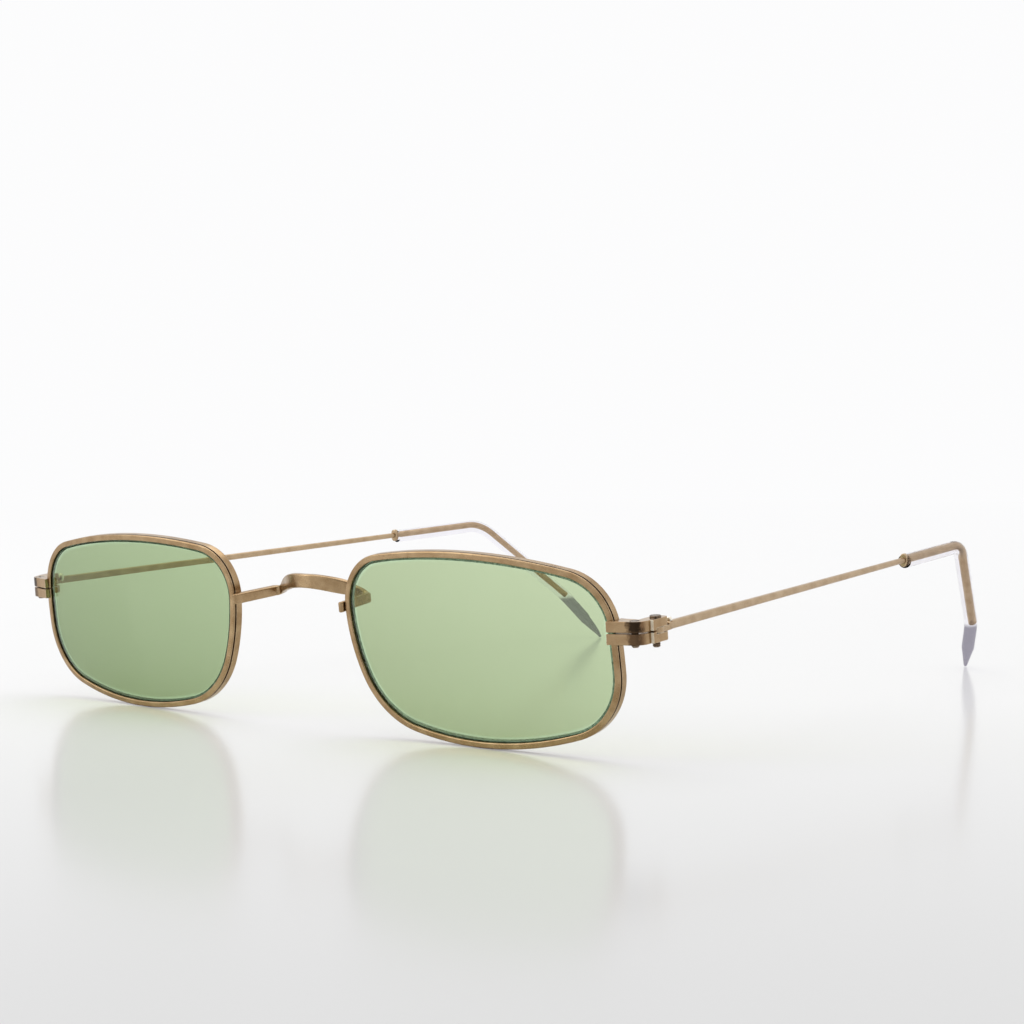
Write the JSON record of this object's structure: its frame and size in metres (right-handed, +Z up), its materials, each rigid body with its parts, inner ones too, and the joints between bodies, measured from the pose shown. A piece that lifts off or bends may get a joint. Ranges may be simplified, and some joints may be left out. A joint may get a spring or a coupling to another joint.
{
  "type": "narrow rectangle sunglasses",
  "caption": "Narrow rectangle sunglasses with thin wire rims, a bent strip bridge, tinted lenses and folding wire temples with clear tip sleeves.",
  "frame": {"origin": "on the table, under the middle of the open glasses, where they stand on both rims and both ear tips", "axes": "+Z up, the front looks along -Y, +X is the wearer's left"},
  "size_m": [0.1282, 0.1362, 0.0283],
  "materials": {
    "frame_metal": "satin antique champagne plating",
    "screw_metal": "darkened, slotted heads",
    "tinted_lens": "polished pale sage green tint",
    "clear_sleeve": "clear and glossy"
  },
  "bodies": {
    "front": {"bridge": "frame_metal", "left_rim": "frame_metal", "left_lens": "tinted_lens", "left_upper_endpiece": "frame_metal", "left_lower_endpiece": "frame_metal", "left_closing_screw": "screw_metal", "left_hinge_screw": "screw_metal", "right_rim": "frame_metal", "right_lens": "tinted_lens", "right_upper_endpiece": "frame_metal", "right_lower_endpiece": "frame_metal", "right_closing_screw": "screw_metal", "right_hinge_screw": "screw_metal"},
    "left_temple": {"left_temple_wire": "frame_metal", "left_hinge_tongue": "frame_metal", "left_tip_collar": "frame_metal", "left_tip_sleeve": "clear_sleeve"},
    "right_temple": {"right_temple_wire": "frame_metal", "right_hinge_tongue": "frame_metal", "right_tip_collar": "frame_metal", "right_tip_sleeve": "clear_sleeve"}
  },
  "joints": [
    {"name": "left_temple_fold", "type": "hinge", "parent": "front", "child": "left_temple", "pos_m": [0.063, -0.05989, 0.01839], "axis": [0, -0.0872, 0.9962], "range_deg": [0, 76]},
    {"name": "right_temple_fold", "type": "hinge", "parent": "front", "child": "right_temple", "pos_m": [-0.063, -0.05989, 0.01839], "axis": [0, 0.0872, -0.9962], "range_deg": [0, 83]}
  ]
}
